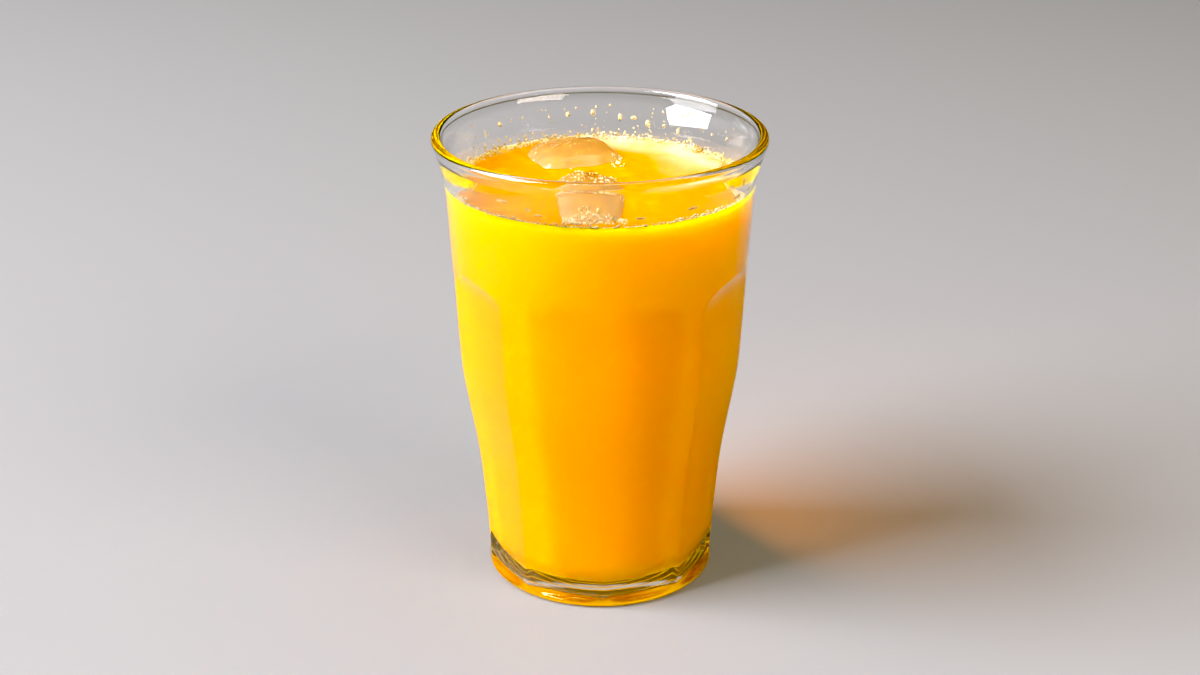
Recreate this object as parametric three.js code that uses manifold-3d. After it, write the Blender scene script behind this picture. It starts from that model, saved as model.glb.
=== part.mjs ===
import * as THREE from "three";
import { mergeVertices } from "three/addons/utils/BufferGeometryUtils.js";
import { RoundedBoxGeometry } from "three/addons/geometries/RoundedBoxGeometry.js";
import Module from "manifold-3d";

// Tumbler of orange juice with two ice cubes. Millimetres, +Z up, foot on z = 0.
// A moulded glass: round flared lip above, nine arch-topped flat facets below.

// Tumbler, overall
const HEIGHT = 124;
const RIM_RADIUS = 44;
const LIP_THICKNESS = 2.6;
const LIP_LEAN = THREE.MathUtils.degToRad(20);
const ROUND_SEGMENTS = 54;

// Outside of the body at the ridges, [radius, height], from the foot to the lip
const BODY_OUTLINE = [
  [31.0, 2.2],
  [31.2, 9],
  [32.0, 20],
  [33.6, 36],
  [36.3, 52],
  [37.5, 60],
  [38.25, 70],
  [39.0, 84],
  [39.75, 97],
  [40.55, 109],
  [41.6, 115],
];
const BODY_STEPS = 24;

// Nine flat facets, each ending in an arch above and in a small scoop at the foot
const FACETS = 9;
const RIDGE_HALF_ANGLE = THREE.MathUtils.degToRad(1);
const ARCH_START = 84;
const ARCH_SCOOP_RADIUS = 10.7;
const FOOT_SCOOP_START = 3.4;
const FOOT_SCOOP_RADIUS = 1.9;
const SCOOP_STEPS = 6;

// Foot: rolled edge, flat resting ring and a shallow hollow under the base
const FOOT_EDGE_RADIUS = 1.2;
const FOOT_RADIUS = 31.0;
const HOLLOW_RADIUS = 24.5;
const HOLLOW_DEPTH = 1.2;

// Inside of the glass: round, with an even floor and a generous corner
const FLOOR_HEIGHT = 4.2;
const FLOOR_CORNER_RADIUS = 7;
const INSIDE_OUTLINE = [
  [25.7, 11.2],
  [26.2, 20],
  [27.7, 36],
  [30.3, 52],
  [31.6, 60],
  [32.6, 70],
  [33.8, 84],
  [35.9, 98],
  [37.5, 109],
  [38.2, 115],
];
const INSIDE_STEPS = 15;

// Juice: fills the glass to this level and climbs a little at the wall
const CLEARANCE = 0.3;
const JUICE_LEVEL = 110.5;
const MENISCUS_HEIGHT = 0.8;
const MENISCUS_WIDTH = 2.2;

// Ice: two half-melted cubes, [x, y, z] sizes before they are turned
const ICE_SEGMENTS = 3;
const ICE_MELT = 0.45;
const ICE_BACK = {
  size: [24.5, 21.5, 20],
  corner: 6,
  turn: [0.1, 0.05, 0.42],
  centre: [-6.4, 21.6, 103.6],
};
const ICE_FRONT = {
  size: [20, 34.5, 22],
  corner: 6.5,
  turn: [0.05, 0.3, 0.05],
  centre: [-3.4, -14.6, 102.3],
};

const wasm = await Module();
wasm.setup();

function solid(geometry) {
  geometry.deleteAttribute("normal");
  geometry.deleteAttribute("uv");
  const merged = mergeVertices(geometry, 1e-4);
  return new wasm.Manifold(new wasm.Mesh({
    numProp: 3,
    vertProperties: new Float32Array(merged.attributes.position.array),
    triVerts: new Uint32Array(merged.index.array),
  }));
}

// A profile of [radius, height] turned about the upright axis, first corner facing -Y.
function turned(profile, segments) {
  const points = profile.map(([radius, height]) => new THREE.Vector2(radius, height));
  return new THREE.LatheGeometry(points, segments).rotateX(Math.PI / 2);
}

function smooth(outline, steps) {
  const curve = new THREE.SplineCurve(outline.map(([radius, height]) => new THREE.Vector2(radius, height)));
  return curve.getPoints(steps).map((point) => [point.x, point.y]);
}

function arc(radius, height, size, from, to, steps) {
  const curve = new THREE.EllipseCurve(radius, height, size, size, from, to, to < from);
  return curve.getPoints(steps).map((point) => [point.x, point.y]);
}

function lipEnd(side) {
  const half = LIP_THICKNESS / 2;
  const lean = side > 0 ? -LIP_LEAN : Math.PI + LIP_LEAN;
  return [RIM_RADIUS - half + half * Math.cos(lean), HEIGHT - half + half * Math.sin(lean)];
}

const bodyWall = smooth([...BODY_OUTLINE, lipEnd(1)], BODY_STEPS);
const insideWall = smooth([...INSIDE_OUTLINE, lipEnd(-1)], INSIDE_STEPS);

function roundBody() {
  const half = LIP_THICKNESS / 2;
  const lip = arc(RIM_RADIUS - half, HEIGHT - half, half, -LIP_LEAN, Math.PI + LIP_LEAN, 8);
  const edge = arc(
    FOOT_RADIUS - FOOT_EDGE_RADIUS, FOOT_EDGE_RADIUS, FOOT_EDGE_RADIUS, -Math.PI / 2, 0, 4);
  return solid(turned([
    [0, HOLLOW_DEPTH],
    [HOLLOW_RADIUS - 5, HOLLOW_DEPTH * 0.75],
    [HOLLOW_RADIUS, 0],
    ...edge,
    ...bodyWall,
    ...lip.slice(1),
    [0, HEIGHT - LIP_THICKNESS],
  ], ROUND_SEGMENTS));
}

function wallRadiusAt(height) {
  const above = bodyWall.findIndex((point) => point[1] >= height);
  if (above <= 0) return bodyWall[0][0];
  const [r0, z0] = bodyWall[above - 1];
  const [r1, z1] = bodyWall[above];
  return r0 + (r1 - r0) * (height - z0) / (z1 - z0);
}

// Nine-sided body whose flats lie inside the round one, so that narrow ridges stay round.
function facetBody() {
  const corner = Math.cos(Math.PI / FACETS);
  const flat = Math.cos(Math.PI / FACETS - RIDGE_HALF_ANGLE);
  const profile = [[0, -1]];
  const add = (height, scoop) => {
    profile.push([(wallRadiusAt(height) * flat + scoop) / corner, height]);
  };
  add(-1, FOOT_SCOOP_RADIUS);
  add(FOOT_SCOOP_START - FOOT_SCOOP_RADIUS, FOOT_SCOOP_RADIUS);
  for (let i = 1; i <= SCOOP_STEPS; i++) {
    const angle = (Math.PI / 2) * (1 - i / SCOOP_STEPS);
    add(FOOT_SCOOP_START - FOOT_SCOOP_RADIUS * Math.sin(angle), FOOT_SCOOP_RADIUS * (1 - Math.cos(angle)));
  }
  for (const [, height] of bodyWall) {
    if (height > FOOT_SCOOP_START + 1 && height < ARCH_START - 1) add(height, 0);
  }
  for (let i = 0; i <= SCOOP_STEPS; i++) {
    const angle = 0.85 * i / SCOOP_STEPS;
    add(ARCH_START + ARCH_SCOOP_RADIUS * Math.sin(angle), ARCH_SCOOP_RADIUS * (1 - Math.cos(angle)));
  }
  const outside = (RIM_RADIUS + 4) / corner;
  profile.push([outside, HEIGHT - 20], [outside, HEIGHT + 1], [0, HEIGHT + 1]);
  return solid(turned(profile, FACETS));
}

// The space inside the glass, or what fills it when shrunk by the clearance.
function floorAndWall(inset) {
  const [cornerRadius, cornerHeight] = INSIDE_OUTLINE[0];
  const corner = arc(
    cornerRadius - FLOOR_CORNER_RADIUS, cornerHeight, FLOOR_CORNER_RADIUS - inset, -Math.PI / 2, 0, 6);
  const wall = insideWall.slice(1).map(([radius, height]) => [radius - inset, height]);
  return [[0, FLOOR_HEIGHT + inset], ...corner, ...wall];
}

function insideSpace() {
  return solid(turned([
    ...floorAndWall(0),
    [lipEnd(-1)[0], HEIGHT + 1],
    [0, HEIGHT + 1],
  ], ROUND_SEGMENTS));
}

function juiceBody() {
  const contact = JUICE_LEVEL + MENISCUS_HEIGHT;
  const walls = floorAndWall(CLEARANCE);
  const above = walls.findIndex((point) => point[1] > contact);
  const [r0, z0] = walls[above - 1];
  const [r1, z1] = walls[above];
  const contactRadius = r0 + (r1 - r0) * (contact - z0) / (z1 - z0);
  const meniscus = [0.15, 0.4, 0.7, 1].map((along) => [
    contactRadius - MENISCUS_WIDTH * along,
    JUICE_LEVEL + MENISCUS_HEIGHT * (1 - along) ** 2,
  ]);
  return solid(turned([
    ...walls.slice(0, above),
    [contactRadius, contact],
    ...meniscus,
    [0, JUICE_LEVEL],
  ], ROUND_SEGMENTS));
}

// A rounded cube with shallow melted waves, grown on all sides to make its socket in the juice.
function iceCube({ size, corner, turn, centre }, grow) {
  const [width, depth, tall] = size.map((length) => length + 2 * grow);
  const geometry = new RoundedBoxGeometry(width, depth, tall, ICE_SEGMENTS, corner + grow);
  const position = geometry.attributes.position;
  const vertex = new THREE.Vector3();
  for (let i = 0; i < position.count; i++) {
    vertex.fromBufferAttribute(position, i);
    const wave = Math.sin(vertex.x * 0.31 + 1) + Math.sin(vertex.y * 0.27 + 2) + Math.sin(vertex.z * 0.35);
    vertex.addScaledVector(vertex.clone().normalize(), ICE_MELT * wave);
    position.setXYZ(i, vertex.x, vertex.y, vertex.z);
  }
  geometry.applyMatrix4(new THREE.Matrix4().makeRotationFromEuler(new THREE.Euler(...turn, "ZYX")));
  geometry.translate(...centre);
  return solid(geometry);
}

function mesh(name, body, look) {
  const { vertProperties, triVerts } = body.getMesh();
  const geometry = new THREE.BufferGeometry();
  geometry.setAttribute("position", new THREE.BufferAttribute(new Float32Array(vertProperties), 3));
  geometry.setIndex(new THREE.BufferAttribute(new Uint32Array(triVerts), 1));
  geometry.computeVertexNormals();
  const node = new THREE.Mesh(geometry, new THREE.MeshStandardMaterial(look));
  node.name = name;
  return node;
}

const clearGlass = { color: 0xe9efec, roughness: 0.03, metalness: 0, transparent: true, opacity: 0.35 };
const orangeJuice = { color: 0xf7b000, roughness: 0.2, metalness: 0 };
const meltingIce = { color: 0xf3e2b4, roughness: 0.08, metalness: 0 };

const sockets = iceCube(ICE_BACK, CLEARANCE).add(iceCube(ICE_FRONT, CLEARANCE));

const tumbler = new THREE.Group();
tumbler.name = "orange_juice_tumbler";
tumbler.add(
  mesh("glass", roundBody().intersect(facetBody()).subtract(insideSpace()), clearGlass),
  mesh("juice", juiceBody().subtract(sockets), orangeJuice),
  mesh("ice_back", iceCube(ICE_BACK, 0), meltingIce),
  mesh("ice_front", iceCube(ICE_FRONT, 0), meltingIce),
);

export default tumbler;
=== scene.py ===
import bisect
import math
import random

import bmesh
import bpy
from bpy.props import FloatProperty, FloatVectorProperty, IntProperty, PointerProperty
from mathutils import Euler, Matrix, Vector, noise


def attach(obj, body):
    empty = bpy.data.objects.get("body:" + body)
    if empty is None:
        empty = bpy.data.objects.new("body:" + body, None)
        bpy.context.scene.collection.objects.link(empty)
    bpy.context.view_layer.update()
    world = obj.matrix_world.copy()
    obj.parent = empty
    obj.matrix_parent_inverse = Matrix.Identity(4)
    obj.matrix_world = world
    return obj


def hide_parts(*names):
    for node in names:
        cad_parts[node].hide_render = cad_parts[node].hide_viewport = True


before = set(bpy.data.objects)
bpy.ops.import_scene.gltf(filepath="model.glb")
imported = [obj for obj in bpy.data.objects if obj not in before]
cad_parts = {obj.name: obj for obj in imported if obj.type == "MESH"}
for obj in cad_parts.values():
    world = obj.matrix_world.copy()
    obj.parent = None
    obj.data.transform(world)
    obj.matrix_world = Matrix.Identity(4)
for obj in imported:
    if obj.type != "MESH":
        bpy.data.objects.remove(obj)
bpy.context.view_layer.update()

bl_info = {
    "name": "Glass of orange juice",
    "version": (1, 0, 0),
    "blender": (4, 5, 0),
    "location": "3D View > Sidebar > Juice",
    "description": "Faceted tumbler of orange juice with ice, foam and drops",
    "category": "Add Mesh",
}

MM = 0.001
TAU = 2 * math.pi
TABLE_HALF_SIZE = 4
TABLE_GAP = 0.0003

# Outlines in millimetres, (radius, height), the same as the solids
BODY_OUTLINE = [
    (31.0, 1.2), (31.0, 2.2), (31.2, 9), (32.0, 20), (33.6, 36), (36.3, 52), (37.5, 60), (38.25, 70),
    (39.0, 84), (39.75, 97), (40.55, 109), (41.6, 115),
]
INSIDE_OUTLINE = [
    (25.7, 11.2), (26.2, 20), (27.7, 36), (30.3, 52), (31.6, 60), (32.6, 70), (33.8, 84), (35.9, 98),
    (37.5, 109), (38.2, 115),
]
FLOOR_CORNER = 7.0
HOLLOW = {"depth": 1.2, "inner": 9, "outer": 23, "rib": 0.32, "rib_pitch": 3.2, "uneven": 0.25}
ARCH_SCOOP = 10.7
FOOT_SCOOP = 1.9
FOOT_SCOOP_START = 3.4
RIDGE_HALF_ANGLE = math.radians(1)
LIP_LEAN = math.radians(20)
MENISCUS_WIDTH = 2.4

# Ice cubes in millimetres, the same as the solids
ICE = {
    "ice_back": {
        "size": (24.5, 21.5, 20), "corner": 6, "turn": (0.1, 0.05, 0.42), "centre": (-6.4, 21.6, 103.6)},
    "ice_front": {
        "size": (20, 34.5, 22), "corner": 6.5, "turn": (0.05, 0.3, 0.05), "centre": (-3.4, -14.6, 102.3)},
}

# Width of the foam ring in millimetres by the angle in degrees from the front towards +X
FOAM_WIDTH = [
    (0, 0.9), (22, 1.1), (42, 2.4), (70, 2.2), (100, 1.5), (130, 2.6), (155, 1.2), (180, 1.8), (212, 2.8),
    (240, 3.0), (270, 1.3), (315, 1.0), (360, 0.9),
]

# Froth on and round the ice in millimetres: x from and to, y from and to, share of the bubbles
FROTH = [
    (-11.5, 4.5, -12, 2.5, 0.3), (-10, 6, -32, -27.5, 0.35), (3.5, 7, 11, 19, 0.1), (-18, 4, 9, 28, 0.05),
]

# Large bubbles in millimetres: x, y, radius
LARGE_BUBBLES = [
    (27.2, 23.6, 1.5), (-30.5, 19.5, 0.9), (-28.6, 22.4, 0.7), (33.2, 12.4, 0.8), (-2.4, -4.2, 0.9),
]

# Larger drops on the back of the wall: degrees from the back towards +X, height, width and length in mm
LARGE_DROPS = [
    (-1.4, 117.4, 1.5, 2.0), (-11.7, 117.2, 1.5, 1.6), (9.8, 116.3, 1.3, 2.1), (15.6, 116.3, 1.9, 1.3),
    (21.8, 115.2, 1.6, 2.0), (29.0, 115.0, 1.0, 1.2), (35.8, 114.2, 1.1, 1.8), (-42.9, 117.3, 1.4, 1.5),
    (-52.3, 116.1, 0.7, 2.2), (5.5, 119.2, 0.9, 0.8), (-8.2, 118.6, 0.7, 0.7), (42.1, 112.9, 1.2, 1.1),
]

# Smears of juice on the front of the wall: degrees from the front towards +X, height, width and length in mm
SMEARS = [
    (-61.4, 113.0, 2.6, 0.8), (-38.7, 116.2, 3.4, 0.9), (-28.2, 115.0, 1.6, 0.7), (-24.2, 113.8, 2.2, 0.6),
    (-10.8, 112.5, 2.6, 0.9), (4.0, 113.8, 0.6, 2.2), (13.4, 113.6, 2.8, 0.7), (34.1, 114.4, 3.2, 0.8),
    (58.4, 113.4, 3.0, 1.4), (68.4, 113.6, 1.6, 2.2),
]


def linear(code):
    """sRGB hex to a linear colour with alpha"""
    channels = [int(code[i:i + 2], 16) / 255 for i in (1, 3, 5)]
    return [c / 12.92 if c <= 0.04045 else ((c + 0.055) / 1.055) ** 2.4 for c in channels] + [1.0]


class TumblerSizes(bpy.types.PropertyGroup):
    """Sizes of the moulded tumbler"""
    height: FloatProperty(name="Height", description="Foot to lip", default=0.124, unit="LENGTH")
    rim_radius: FloatProperty(
        name="Rim radius", description="Outside of the lip",
        default=0.0439, unit="LENGTH")
    lip: FloatProperty(
        name="Lip thickness", description="Rounded lip, across",
        default=0.0026, unit="LENGTH")
    floor: FloatProperty(
        name="Floor height", description="Inside floor above the table",
        default=0.0042, unit="LENGTH")
    facets: IntProperty(name="Facets", description="Flat faces round the body", default=9, min=5, max=16)
    arch: FloatProperty(
        name="Arch start", description="Height where the facets start to run out",
        default=0.084, unit="LENGTH")
    steps: IntProperty(name="Steps", description="Divisions round the glass", default=360, min=90, max=432)


class DrinkSizes(bpy.types.PropertyGroup):
    """Sizes and colours of the drink"""
    level: FloatProperty(
        name="Juice level", description="Surface above the table",
        default=0.1105, unit="LENGTH")
    meniscus: FloatProperty(
        name="Meniscus", description="Climb of the juice at the wall",
        default=0.0008, unit="LENGTH")
    overlap: FloatProperty(
        name="Overlap", description="How far the juice reaches into the wall",
        default=0.00012, unit="LENGTH")
    juice: FloatVectorProperty(
        name="Juice", description="Colour of the cloudy juice", subtype="COLOR", size=3,
        default=linear("#FAAB04")[:3])
    # The open surface colour is darker than the juice colour: painted shade on the top of the juice
    surface: FloatVectorProperty(
        name="Surface", description="Colour of the open surface", subtype="COLOR", size=3,
        default=linear("#B77403")[:3])
    bubbles: IntProperty(
        name="Ring bubbles", description="Bubbles of the foam ring",
        default=1500, min=0, max=4000)
    froth: IntProperty(
        name="Froth bubbles", description="Bubbles on and round the ice",
        default=480, min=0, max=2000)
    drops: IntProperty(
        name="Small drops", description="Small drops on the wall over the juice",
        default=120, min=0, max=400)
    seed: IntProperty(name="Seed", description="Start of the random placing", default=7, min=0)


class StageSettings(bpy.types.PropertyGroup):
    """Camera and light"""
    distance: FloatProperty(
        name="Camera distance", description="Level distance from the axis",
        default=0.510, unit="LENGTH")
    camera_height: FloatProperty(
        name="Camera height", description="Above the table",
        default=0.2798, unit="LENGTH")
    pitch: FloatProperty(
        name="Camera pitch", description="Downward tilt",
        default=math.radians(22.76), subtype="ANGLE")
    turn: FloatProperty(
        name="Camera turn", description="Swing about the axis",
        default=math.radians(1.5), subtype="ANGLE")
    lens: FloatProperty(
        name="Lens", description="Focal length on a 36 mm sensor",
        default=61.32, subtype="NONE")


def new_material(name):
    material = bpy.data.materials.new(name)
    material.use_nodes = True
    material.node_tree.nodes.clear()
    return material


def add(tree, kind, inputs=None, links=None, **settings):
    """Adds a node, sets its values and links sockets into it"""
    node = tree.nodes.new(kind)
    for key, value in settings.items():
        setattr(node, key, value)
    for key, value in (inputs or {}).items():
        node.inputs[key].default_value = value
    for key, socket in (links or {}).items():
        tree.links.new(socket, node.inputs[key])
    return node


def smooth_outline(points, steps):
    """A smooth curve through outline points"""
    ends = [points[0], *points, points[-1]]
    curve = []
    for i in range(steps + 1):
        along = (len(points) - 1) * i / steps
        span = min(int(along), len(points) - 2)
        t = along - span
        p0, p1, p2, p3 = (Vector(p) for p in ends[span:span + 4])
        curve.append(tuple(0.5 * (
            2 * p1 + (p2 - p0) * t + (2 * p0 - 5 * p1 + 4 * p2 - p3) * t * t
            + (3 * p1 - p0 - 3 * p2 + p3) * t ** 3)))
    return curve


def lookup(points, value):
    """Straight interpolation in a list of (key, result)"""
    i = min(max(bisect.bisect_left(points, (value,)), 1), len(points) - 1)
    (a, result_a), (b, result_b) = points[i - 1], points[i]
    share = min(max((value - a) / max(b - a, 1e-9), 0), 1)
    return result_a + (result_b - result_a) * share


def radius_by_height(points):
    """A lookup from height to radius along an outline"""
    dense = [(height, radius) for radius, height in smooth_outline(points, 600)]
    return lambda height: lookup(dense, height)


def arc(centre, size, start, end, steps):
    """Points along an arc in the outline plane"""
    turns = [start + (end - start) * i / steps for i in range(steps + 1)]
    return [(centre[0] + size * math.cos(a), centre[1] + size * math.sin(a)) for a in turns]


def rising(low, high, step):
    """Even heights from low up to, and not including, high"""
    count = max(1, round((high - low) / step))
    return [low + (high - low) * i / count for i in range(count)]


def lip_points(sizes):
    half = sizes.lip / MM / 2
    centre = (sizes.rim_radius / MM - half, sizes.height / MM - half)
    return arc(centre, half, -LIP_LEAN, math.pi + LIP_LEAN, 22)


def wall_lookups(sizes):
    lip = lip_points(sizes)
    return radius_by_height(BODY_OUTLINE + lip[:1]), radius_by_height(INSIDE_OUTLINE + lip[-1:])


def spun(outline, steps):
    """A bmesh of an outline in millimetres turned about the upright axis"""
    bm = bmesh.new()
    verts = [bm.verts.new((0, -radius * MM, height * MM)) for radius, height in outline]
    edges = [bm.edges.new(pair) for pair in zip(verts, verts[1:])]
    bmesh.ops.spin(bm, geom=verts + edges, cent=(0, 0, 0), axis=(0, 0, 1), dvec=(0, 0, 0),
                   angle=TAU, steps=steps, use_merge=True, use_duplicate=False)
    bmesh.ops.remove_doubles(bm, verts=bm.verts[:], dist=1e-7)
    bmesh.ops.recalc_face_normals(bm, faces=bm.faces[:])
    return bm


def scatter(places, detail):
    """A bmesh of many small balls, made in batches because each call walks its whole bmesh"""
    whole = bmesh.new()
    for start in range(0, len(places), 100):
        batch = bmesh.new()
        for matrix in places[start:start + 100]:
            bmesh.ops.create_icosphere(batch, subdivisions=detail, radius=1, matrix=matrix)
        mesh = bpy.data.meshes.new("batch")
        batch.to_mesh(mesh)
        batch.free()
        whole.from_mesh(mesh)
        bpy.data.meshes.remove(mesh)
    return whole


def finish_piece(bm, name, materials, replaces=None):
    """Turns a bmesh into a shaded object that rides on the part"""
    mesh = bpy.data.meshes.new(name)
    bm.to_mesh(mesh)
    bm.free()
    for polygon in mesh.polygons:
        polygon.use_smooth = True
    for material in materials:
        mesh.materials.append(material)
    piece = bpy.data.objects.new(name, mesh)
    bpy.context.scene.collection.objects.link(piece)
    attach(piece, "root")
    if replaces:
        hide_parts(replaces)
    return piece


def soft_min(a, b, blend):
    share = max(blend - abs(a - b), 0) / blend
    return min(a, b) - share * share * blend / 4


def clear_glass(name, bend, rough):
    """Toughened soda-lime glass, pressed in a mould and fire-polished: clear, sharp reflections"""
    material = new_material(name)
    tree = material.node_tree
    place = add(tree, "ShaderNodeTexCoord")
    flow = add(tree, "ShaderNodeTexNoise", {"Scale": 1 / 0.009, "Detail": 1.0},
               {"Vector": place.outputs["Object"]})
    wavy = add(tree, "ShaderNodeBump", {"Strength": 0.05, "Distance": 0.0006},
               {"Height": flow.outputs["Fac"]})
    tone = add(tree, "ShaderNodeMix", {6: linear("#FFFFFF"), 7: linear("#FFFEFD")}, {0: flow.outputs["Fac"]},
               data_type="RGBA")
    shader = add(tree, "ShaderNodeBsdfPrincipled",
                 {"Roughness": rough, "IOR": bend, "Transmission Weight": 1.0},
                 {"Base Color": tone.outputs[2], "Normal": wavy.outputs[0]})
    add(tree, "ShaderNodeOutputMaterial", links={"Surface": shader.outputs[0]})
    return material


def cloudy_juice(name, colour, gloss):
    """Orange juice with fine pulp: light goes deep into it and comes back yellow, then orange"""
    material = new_material(name)
    tree = material.node_tree
    place = add(tree, "ShaderNodeTexCoord")
    pulp = add(tree, "ShaderNodeTexNoise", {"Scale": 1 / 0.0045, "Detail": 3.0, "Roughness": 0.6},
               {"Vector": place.outputs["Object"]})
    share = add(tree, "ShaderNodeMapRange", {"From Min": 0.5, "From Max": 0.8, "To Max": 0.25},
                {"Value": pulp.outputs["Fac"]})
    tone = add(tree, "ShaderNodeMix", {6: (*colour, 1), 7: linear("#FFB60E")}, {0: share.outputs[0]},
               data_type="RGBA")
    axes = add(tree, "ShaderNodeSeparateXYZ", links={"Vector": place.outputs["Object"]})
    if gloss:
        # A pale film of fine foam drifts against the far half of the wall; the paleness there is also a
        # painted reflection of the bright room on the far half of the surface
        level = add(tree, "ShaderNodeMapping", {"Location": (0.007, 0.002, 0), "Scale": (1, 1, 0)},
                    {"Vector": place.outputs["Object"]})
        radius = add(tree, "ShaderNodeVectorMath", links={0: level.outputs[0]}, operation="LENGTH")
        near_wall = add(tree, "ShaderNodeMapRange", {"From Min": 0.029, "From Max": 0.041, "To Max": 0.85},
                        {"Value": radius.outputs["Value"]})
        far_half = add(tree, "ShaderNodeMapRange", {"From Min": 0.0, "From Max": 0.014},
                       {"Value": axes.outputs["Y"]})
        drift = add(tree, "ShaderNodeTexNoise", {"Scale": 1 / 0.012, "Detail": 4.0, "Distortion": 0.6},
                    {"Vector": place.outputs["Object"]})
        streaks = add(tree, "ShaderNodeMapRange", {"From Min": 0.36, "From Max": 0.62, "To Min": 0.25},
                      {"Value": drift.outputs["Fac"]})
        film = add(tree, "ShaderNodeMath", links={0: near_wall.outputs[0], 1: far_half.outputs[0]},
                   operation="MULTIPLY")
        film = add(tree, "ShaderNodeMath", links={0: film.outputs[0], 1: streaks.outputs[0]},
                   operation="MULTIPLY")
        # Partly foam film and partly painted reflection: the surface is mixed paler there
        tone = add(tree, "ShaderNodeMix", {7: linear("#DCC09C")}, {0: film.outputs[0], 6: tone.outputs[2]},
                   data_type="RGBA")
    else:
        # Painted light: the juice is paler towards the top, standing in for light that comes in through the
        # open surface
        painted_top_light = add(tree, "ShaderNodeMapRange", {"From Min": 0.078, "From Max": 0.108},
                   {"Value": axes.outputs["Z"]})
        tone = add(tree, "ShaderNodeMix", {7: linear("#FFBF06")}, {0: painted_top_light.outputs[0], 6: tone.outputs[2]},
                   data_type="RGBA")
    shader = add(tree, "ShaderNodeBsdfPrincipled", {
        "Roughness": 0.1, "IOR": 1.34, "Specular IOR Level": gloss,
        "Subsurface Weight": 1.0, "Subsurface Radius": (0.64, 0.66, 0.3), "Subsurface Scale": 0.015,
        "Subsurface Anisotropy": 0.0}, {"Base Color": tone.outputs[2]})
    add(tree, "ShaderNodeOutputMaterial", links={"Surface": shader.outputs[0]})
    return material


def melting_ice():
    """Half-melted ice: wet and clear on top, milky with trapped air towards the juice"""
    material = new_material("ice_half_melted")
    tree = material.node_tree
    place = add(tree, "ShaderNodeTexCoord")
    axes = add(tree, "ShaderNodeSeparateXYZ", links={"Vector": place.outputs["Object"]})
    low = add(tree, "ShaderNodeMapRange",
              {"From Min": 0.1106, "From Max": 0.1134, "To Min": 1.0, "To Max": 0.1},
              {"Value": axes.outputs["Z"]})
    cloud = add(tree, "ShaderNodeTexNoise", {"Scale": 1 / 0.004, "Detail": 4.0},
                {"Vector": place.outputs["Object"]})
    patch = add(tree, "ShaderNodeMapRange", {"From Min": 0.35, "From Max": 0.65, "To Min": 0.3},
                {"Value": cloud.outputs["Fac"]})
    frost = add(tree, "ShaderNodeMath", links={0: low.outputs[0], 1: patch.outputs[0]}, operation="MULTIPLY")
    clear = add(tree, "ShaderNodeMapRange", {"To Min": 0.93, "To Max": 0.8}, {"Value": frost.outputs[0]})
    rough = add(tree, "ShaderNodeMapRange", {"To Min": 0.04, "To Max": 0.3}, {"Value": frost.outputs[0]})
    shader = add(tree, "ShaderNodeBsdfPrincipled", {"Base Color": linear("#EAEAB6"), "IOR": 1.31}, {
        "Transmission Weight": clear.outputs[0], "Roughness": rough.outputs[0]})
    add(tree, "ShaderNodeOutputMaterial", links={"Surface": shader.outputs[0]})
    return material


def juice_foam():
    """Small bubbles in a film of juice: pale yellow, wet and half clear"""
    material = new_material("juice_foam_bubbles")
    tree = material.node_tree
    place = add(tree, "ShaderNodeTexCoord")
    patch = add(tree, "ShaderNodeTexNoise", {"Scale": 1 / 0.0015, "Detail": 2.0},
                {"Vector": place.outputs["Object"]})
    share = add(tree, "ShaderNodeMapRange", {"From Min": 0.35, "From Max": 0.65},
                {"Value": patch.outputs["Fac"]})
    tone = add(tree, "ShaderNodeMix", {6: linear("#DDCBA4"), 7: linear("#DDBE79")}, {0: share.outputs[0]},
               data_type="RGBA")
    clear = add(tree, "ShaderNodeMapRange", {"To Min": 0.25, "To Max": 0.55}, {"Value": share.outputs[0]})
    shader = add(tree, "ShaderNodeBsdfPrincipled", {"Roughness": 0.08, "IOR": 1.33}, {
        "Base Color": tone.outputs[2], "Transmission Weight": clear.outputs[0]})
    add(tree, "ShaderNodeOutputMaterial", links={"Surface": shader.outputs[0]})
    return material


def juice_film():
    """Film of a large bubble: clear with a thin bright edge"""
    material = new_material("juice_bubble_film")
    tree = material.node_tree
    place = add(tree, "ShaderNodeTexCoord")
    swirl = add(tree, "ShaderNodeTexNoise", {"Scale": 1 / 0.0012, "Distortion": 1.0},
                {"Vector": place.outputs["Object"]})
    tone = add(tree, "ShaderNodeMix", {6: linear("#FFFCF4"), 7: linear("#FFF0CC")}, {0: swirl.outputs["Fac"]},
               data_type="RGBA")
    shader = add(tree, "ShaderNodeBsdfPrincipled",
                 {"Roughness": 0.0, "IOR": 1.33, "Transmission Weight": 1.0}, {"Base Color": tone.outputs[2]})
    add(tree, "ShaderNodeOutputMaterial", links={"Surface": shader.outputs[0]})
    return material


def thin_juice():
    """Juice left on the glass in drops: thin, so pale yellow and half clear"""
    material = new_material("orange_juice_thin_drops")
    tree = material.node_tree
    place = add(tree, "ShaderNodeTexCoord")
    pulp = add(tree, "ShaderNodeTexNoise", {"Scale": 1 / 0.0008}, {"Vector": place.outputs["Object"]})
    tone = add(tree, "ShaderNodeMix", {6: linear("#FFF6DA"), 7: linear("#FFE7A4")}, {0: pulp.outputs["Fac"]},
               data_type="RGBA")
    clear = add(tree, "ShaderNodeMapRange", {"From Min": 0.3, "From Max": 0.7, "To Min": 0.9, "To Max": 0.65},
                {"Value": pulp.outputs["Fac"]})
    shader = add(tree, "ShaderNodeBsdfPrincipled", {"Roughness": 0.04, "IOR": 1.34}, {
        "Base Color": tone.outputs[2], "Transmission Weight": clear.outputs[0]})
    add(tree, "ShaderNodeOutputMaterial", links={"Surface": shader.outputs[0]})
    return material


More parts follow.
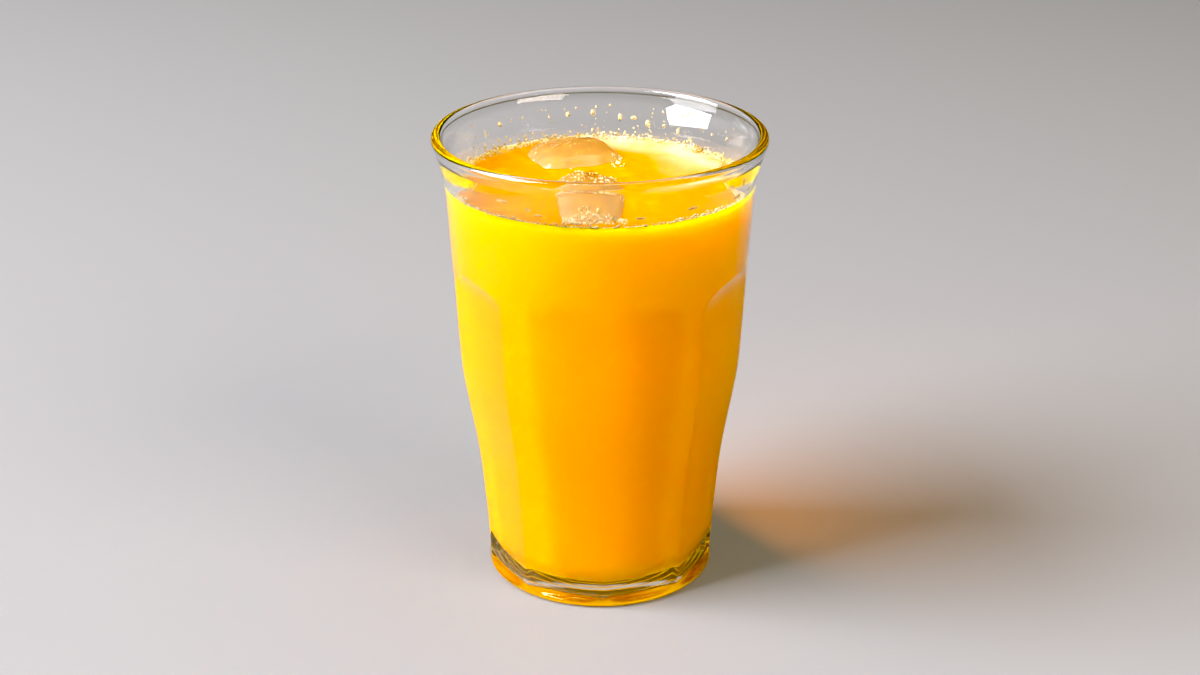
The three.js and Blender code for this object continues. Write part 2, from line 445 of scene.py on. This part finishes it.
class JUICE_OT_glass(bpy.types.Operator):
    """Build the faceted tumbler"""
    bl_idname = "juice.glass"
    bl_label = "Tumbler"

    def execute(self, context):
        sizes = context.scene.tumbler
        outside, inside = wall_lookups(sizes)
        lip = lip_points(sizes)
        floor = sizes.floor / MM
        corner = (INSIDE_OUTLINE[0][0] - FLOOR_CORNER, floor + FLOOR_CORNER)
        heights = (rising(1.2, 5, 0.25) + rising(5, 82, 2.0) + rising(82, 93, 0.4)
                   + rising(93, lip[0][1], 1.2))
        inner_heights = rising(INSIDE_OUTLINE[0][1], lip[-1][1], 2.6)
        outline = [(0, HOLLOW["depth"]), (4, HOLLOW["depth"]), (8, 1.15)]
        for i in range(36):
            radius = HOLLOW["inner"] + (HOLLOW["outer"] - HOLLOW["inner"]) * i / 35
            fade = min(1, i / 4, (35 - i) / 4)
            rib = HOLLOW["rib"] * fade * math.sin(TAU * (radius - HOLLOW["inner"]) / HOLLOW["rib_pitch"])
            outline.append((radius, 1.1 - 0.6 * (i / 35) ** 4 + rib))
        outline += [(23.8, 0.2), (24.5, 0), (26, 0), (28, 0)]
        outline += arc((29.8, 1.2), 1.2, -math.pi / 2, 0, 6)[:-1]
        outline += [(outside(z), z) for z in heights]
        outline += lip
        outline += [(inside(z), z) for z in reversed(inner_heights)]
        outline += arc(corner, FLOOR_CORNER, 0, -math.pi / 2, 14)[1:]
        outline += [(corner[0] * share, floor) for share in (0.8, 0.6, 0.4, 0.2, 0)]
        bm = spun(outline, sizes.steps)

        # The flats lie inside the round body, so narrow ridges stay round between them
        sector = TAU / sizes.facets
        flat = math.cos(sector / 2 - RIDGE_HALF_ANGLE)
        arch = sizes.arch / MM
        for vert in bm.verts:
            height = vert.co.z / MM
            radius = vert.co.xy.length / MM
            if radius < 27 or height > arch + 10 or radius < (outside(height) + inside(height)) / 2:
                continue
            angle = math.atan2(vert.co.x, -vert.co.y) % sector - sector / 2
            scoop = 0
            if height > arch:
                scoop = ARCH_SCOOP - math.sqrt(max(ARCH_SCOOP ** 2 - (height - arch) ** 2, 0))
            if height < FOOT_SCOOP_START:
                scoop = FOOT_SCOOP - math.sqrt(max(FOOT_SCOOP ** 2 - (FOOT_SCOOP_START - height) ** 2, 0))
            face = (outside(max(height, 2.2)) * flat + scoop) / math.cos(angle)
            pulled = soft_min(radius, face, 0.3)
            vert.co.xy *= pulled / radius
        # The underside of the pressed base is a little uneven
        for vert in bm.verts:
            radius = vert.co.xy.length / MM
            if vert.co.z < 2 * MM and HOLLOW["inner"] < radius < HOLLOW["outer"]:
                fade = min(1, (radius - HOLLOW["inner"]) / 3, (HOLLOW["outer"] - radius) / 2)
                vert.co.z += HOLLOW["uneven"] * MM * fade * noise.noise(vert.co * 240)
        # The hollow stands in a film of water, so it shows the table and doesn't mirror the juice
        for face in bm.faces:
            middle = face.calc_center_median()
            face.material_index = int(middle.z < 2 * MM and middle.xy.length < 23.6 * MM)
        pressed = clear_glass("soda_lime_glass_pressed", 1.51, 0.0)
        underside = clear_glass("soda_lime_glass_wet_underside", 1.06, 0.1)
        finish_piece(bm, "tumbler", [pressed, underside], "glass")
        return {"FINISHED"}


class JUICE_OT_ice(bpy.types.Operator):
    """Build the ice cubes, rounded and melted into shallow waves"""
    bl_idname = "juice.ice"
    bl_label = "Ice cubes"

    def execute(self, context):
        ice = melting_ice()
        for node, shape in ICE.items():
            bm = bmesh.new()
            bmesh.ops.create_cube(bm, size=1)
            bmesh.ops.subdivide_edges(bm, edges=bm.edges[:], cuts=31, use_grid_fill=True)
            half = Vector(shape["size"]) / 2
            core = half - Vector((1, 1, 1)) * shape["corner"]
            for vert in bm.verts:
                point = Vector(2 * a * b for a, b in zip(vert.co, half))
                near = Vector(min(max(a, -b), b) for a, b in zip(point, core))
                point = near + (point - near).normalized() * shape["corner"]
                wave = math.sin(point.x * 0.31 + 1) + math.sin(point.y * 0.27 + 2) + math.sin(point.z * 0.35)
                dent = 0.35 * noise.noise(point * 0.22)
                vert.co = (point + point.normalized() * (0.45 * wave + dent)) * MM
            turn = Euler(shape["turn"], "XYZ").to_matrix().to_4x4()
            place = Matrix.Translation(Vector(shape["centre"]) * MM)
            bmesh.ops.transform(bm, matrix=place @ turn, verts=bm.verts[:])
            bmesh.ops.recalc_face_normals(bm, faces=bm.faces[:])
            finish_piece(bm, "melting_" + node, [ice], node)
        return {"FINISHED"}


class JUICE_OT_juice(bpy.types.Operator):
    """Build the juice from the floor of the glass up to its level"""
    bl_idname = "juice.juice"
    bl_label = "Juice"

    def execute(self, context):
        sizes, drink = context.scene.tumbler, context.scene.drink
        _, inside = wall_lookups(sizes)
        over = drink.overlap / MM
        floor = sizes.floor / MM
        level = drink.level / MM
        contact = level + drink.meniscus / MM
        corner = (INSIDE_OUTLINE[0][0] - FLOOR_CORNER, floor + FLOOR_CORNER)
        edge = inside(contact) + over
        outline = [(corner[0] * share, floor - over) for share in (0, 0.5)]
        outline += arc(corner, FLOOR_CORNER + over, -math.pi / 2, 0, 12)
        outline += [(inside(z) + over, z) for z in rising(INSIDE_OUTLINE[0][1] + 1, contact, 2.5)]
        for t in (0, 0.07, 0.2, 0.4, 0.6, 0.8, 1):
            outline.append((edge - MENISCUS_WIDTH * t, level + (contact - level) * (1 - t) ** 2))
        outline += [((edge - MENISCUS_WIDTH) * (1 - i / 40), level) for i in range(1, 41)]
        bm = spun(outline, 180)
        for vert in bm.verts:
            radius = vert.co.xy.length / MM
            if vert.co.z > (level - 0.05) * MM and radius < edge - 0.6:
                calm = min(1, (edge - radius) / 4)
                vert.co.z += 0.22 * MM * calm * noise.noise(vert.co * 90)
        for face in bm.faces:
            middle = face.calc_center_median()
            face.material_index = int(face.normal.z > 0.2 and middle.z > (level - 0.6) * MM)
        finish_piece(bm, "juice_fill", [
            cloudy_juice("orange_juice_cloudy", drink.juice, 0.0),
            # The surface colour is darker than the body colour as painted shade on the top
            cloudy_juice("orange_juice_wet_surface_painted_shade", drink.surface, 0.2),
        ], "juice")
        return {"FINISHED"}


class JUICE_OT_foam(bpy.types.Operator):
    """Scatter the foam ring, the froth on the ice and a few large bubbles"""
    bl_idname = "juice.foam"
    bl_label = "Foam"

    def execute(self, context):
        sizes, drink = context.scene.tumbler, context.scene.drink
        _, inside = wall_lookups(sizes)
        pick = random.Random(drink.seed)
        level = drink.level / MM
        rise = drink.meniscus / MM
        wall = inside(level + rise)
        context.view_layer.update()
        cubes = [bpy.data.objects["melting_" + node] for node in ICE]

        def top(x, y):
            """Height of the ice or the juice under a point"""
            hits = [cube.ray_cast((x * MM, y * MM, 0.2), (0, 0, -1)) for cube in cubes]
            climb = max(1 - (wall - math.hypot(x, y)) / MENISCUS_WIDTH, 0)
            return max([level + rise * climb ** 2] + [hit[1].z / MM for hit in hits if hit[0]])

        spots = []
        while len(spots) < drink.bubbles:
            angle = pick.uniform(0, 360)
            width = lookup(FOAM_WIDTH, angle) * (0.55 + 0.9 * noise.noise((angle * 0.13, 3, 0)) ** 2 * 2)
            if pick.random() > 0.25 + width / 3:
                continue
            size = 0.16 + 0.34 * pick.random() ** 2
            turn = math.radians(angle)
            if pick.random() < 0.4:
                height = level + rise - 0.15 + pick.random() ** 2 * (0.5 + width * 0.5)
                radius = inside(height) - size * 0.45
            else:
                radius = wall - size - width * pick.random() ** 1.5
                height = top(radius * math.sin(turn), -radius * math.cos(turn)) + size * 0.2
            spots.append((radius * math.sin(turn), -radius * math.cos(turn), height, size))
        for x0, x1, y0, y1, share in FROTH:
            for _ in range(round(drink.froth * share)):
                x, y = pick.uniform(x0, x1), pick.uniform(y0, y1)
                size = 0.12 + 0.3 * pick.random() ** 2
                spots.append((x, y, top(x, y) + size * 0.2, size))
        places = [
            Matrix.Translation(Vector((x, y, z)) * MM) @ Matrix.Scale(size * MM, 4)
            for x, y, z, size in spots]
        finish_piece(scatter(places, 1), "foam_bubbles", [juice_foam()])

        bm = bmesh.new()
        for x, y, size in LARGE_BUBBLES:
            place = Matrix.Translation(Vector((x, y, top(x, y) + size * 0.25)) * MM)
            bmesh.ops.create_icosphere(bm, subdivisions=3, radius=size * MM, matrix=place)
        bmesh.ops.solidify(bm, geom=bm.faces[:], thickness=0.05 * MM)
        finish_piece(bm, "large_bubbles", [juice_film()])
        return {"FINISHED"}


class JUICE_OT_drops(bpy.types.Operator):
    """Put the drops and smears on the wall over the juice"""
    bl_idname = "juice.drops"
    bl_label = "Drops"

    def execute(self, context):
        sizes, drink = context.scene.tumbler, context.scene.drink
        _, inside = wall_lookups(sizes)
        pick = random.Random(drink.seed + 1)
        drops = [(180 - angle, *rest, 0.4) for angle, *rest in LARGE_DROPS]
        smears = [(angle, *rest, 0.12) for angle, *rest in SMEARS]
        for _ in range(drink.drops):
            width = 0.25 + 0.6 * pick.random() ** 3
            drops.append((180 - pick.uniform(-75, 75), 112.2 + 7 * pick.random() ** 1.6, width,
                          width * pick.uniform(0.8, 1.9), 0.4))

        def on_wall(angle, height, width, length, depth):
            """A flat ball lying against the inside of the wall"""
            turn = math.radians(angle)
            inward = Vector((-math.sin(turn), math.cos(turn), 0.25)).normalized()
            level = Vector((math.cos(turn), math.sin(turn), 0))
            frame_axes = Matrix((level, inward.cross(level), inward)).transposed().to_4x4()
            radius = inside(height)
            spot = Vector((radius * math.sin(turn), -radius * math.cos(turn), height))
            place = Matrix.Translation(spot * MM)
            stretch = Matrix.Diagonal((width / 2 * MM, length / 2 * MM, min(width, length) * depth * MM, 1))
            return place @ frame_axes @ stretch

        pieces = {"wall_drops": (drops, thin_juice()), "wall_smears": (smears, juice_foam())}
        for name, (shapes, material) in pieces.items():
            finish_piece(scatter([on_wall(*shape) for shape in shapes], 2), name, [material])
        return {"FINISHED"}


class JUICE_OT_stage(bpy.types.Operator):
    """Set the pale table, the soft light and the camera"""
    bl_idname = "juice.stage"
    bl_label = "Stage"

    def execute(self, context):
        scene = context.scene
        stage = scene.stage
        bm = bmesh.new()
        low = Matrix.Translation((0, 0, -TABLE_GAP))
        bmesh.ops.create_grid(bm, x_segments=1, y_segments=1, size=TABLE_HALF_SIZE, matrix=low)
        mesh = bpy.data.meshes.new("table")
        bm.to_mesh(mesh)
        bm.free()
        table = bpy.data.objects.new("table", mesh)
        scene.collection.objects.link(table)
        material = new_material("honed_pale_stone")
        tree = material.node_tree
        shader = add(tree, "ShaderNodeBsdfPrincipled", {
            "Base Color": linear("#747478"), "Roughness": 0.55, "Specular IOR Level": 0.2})
        add(tree, "ShaderNodeOutputMaterial", links={"Surface": shader.outputs[0]})
        mesh.materials.append(material)

        world = bpy.data.worlds.new("studio")
        world.use_nodes = True
        tree = world.node_tree
        tree.nodes.clear()
        place = add(tree, "ShaderNodeTexCoord")
        split = add(tree, "ShaderNodeSeparateXYZ", links={"Vector": place.outputs["Generated"]})
        ramp = add(tree, "ShaderNodeMapRange",
                   {"From Min": 0.2, "From Max": 0.95, "To Min": 0.03, "To Max": 0.29},
                   {"Value": split.outputs["Z"]})
        glow = add(tree, "ShaderNodeBackground", {"Color": linear("#F4F6FA")}, {"Strength": ramp.outputs[0]})
        add(tree, "ShaderNodeOutputWorld", links={"Surface": glow.outputs[0]})
        scene.world = world

        def lamp(name, place, aim, width, height, power, colour):
            data = bpy.data.lights.new(name, "AREA")
            data.shape = "RECTANGLE"
            data.size, data.size_y = width, height
            data.energy = power
            data.color = linear(colour)[:3]
            light = bpy.data.objects.new(name, data)
            light.location = place
            light.rotation_euler = (Vector(aim) - Vector(place)).to_track_quat("-Z", "Y").to_euler()
            scene.collection.objects.link(light)
            return light

        lamp("window", (-1.54, -0.33, 1.25), (0, 0, 0.05), 1.3, 1.6, 209, "#FFFDFB")
        card = lamp("card", (0.68, -0.66, 0.8), (0, 0, 0.07), 0.7, 0.5, 18.5, "#FFECD8")
        card.visible_glossy = False
        lamp("sky_panel", (0.5, 0.2, 1.5), (0, 0, 0.1), 0.8, 0.8, 4.4, "#F7F9FF")
        # Small hidden lamps stand in for light that comes through the juice and under the base
        glow = lamp("juice_glow", (0.042, 0.026, 0.055), (0.16, 0.1, 0.03), 0.06, 0.09, 0.095, "#FF9400")
        rise = lamp("table_bounce", (0, 0, 0.0028), (0, 0, 0.1), 0.036, 0.036, 0.003, "#FFFFFF")
        under = lamp(
            "light_under_base", (0, -0.011, 0.0001), (0, -0.011, -0.1), 0.034, 0.004, 0.0012, "#FFFFFF")
        for hidden in (glow, rise, under):
            hidden.visible_camera = hidden.visible_glossy = hidden.visible_transmission = False

        camera = bpy.data.cameras.new("camera")
        camera.sensor_width = 36
        camera.sensor_fit = "HORIZONTAL"
        camera.lens = stage.lens
        camera.clip_start = 0.01
        view = bpy.data.objects.new("camera", camera)
        view.location = (-stage.distance * math.sin(stage.turn), -stage.distance * math.cos(stage.turn),
                         stage.camera_height)
        view.rotation_euler = (math.pi / 2 - stage.pitch, 0, -stage.turn)
        scene.collection.objects.link(view)
        scene.camera = view
        scene.view_settings.view_transform = "Standard"
        scene.view_settings.look = "None"
        scene.view_settings.use_curve_mapping = True
        scene.view_settings.curve_mapping.black_level = (0.03, 0.03, 0.075)
        return {"FINISHED"}


class JUICE_PT_panel(bpy.types.Panel):
    """Buttons for the glass of juice"""
    bl_label = "Glass of juice"
    bl_idname = "JUICE_PT_panel"
    bl_space_type = "VIEW_3D"
    bl_region_type = "UI"
    bl_category = "Juice"

    def draw(self, context):
        for group in (context.scene.tumbler, context.scene.drink, context.scene.stage):
            box = self.layout.box()
            for name in group.bl_rna.properties.keys():
                if name not in ("rna_type", "name"):
                    box.prop(group, name)
        for operator in OPERATORS:
            self.layout.operator(operator.bl_idname)


OPERATORS = (JUICE_OT_glass, JUICE_OT_ice, JUICE_OT_juice, JUICE_OT_foam, JUICE_OT_drops, JUICE_OT_stage)
CLASSES = (TumblerSizes, DrinkSizes, StageSettings, *OPERATORS, JUICE_PT_panel)


def register():
    for cls in CLASSES:
        bpy.utils.register_class(cls)
    bpy.types.Scene.tumbler = PointerProperty(type=TumblerSizes)
    bpy.types.Scene.drink = PointerProperty(type=DrinkSizes)
    bpy.types.Scene.stage = PointerProperty(type=StageSettings)


def unregister():
    del bpy.types.Scene.stage
    del bpy.types.Scene.drink
    del bpy.types.Scene.tumbler
    for cls in reversed(CLASSES):
        bpy.utils.unregister_class(cls)


def main():
    register()
    bpy.ops.juice.glass()
    bpy.ops.juice.ice()
    bpy.ops.juice.juice()
    bpy.ops.juice.foam()
    bpy.ops.juice.drops()
    bpy.ops.juice.stage()
    bpy.context.view_layer.update()


if __name__ == "__main__":
    main()
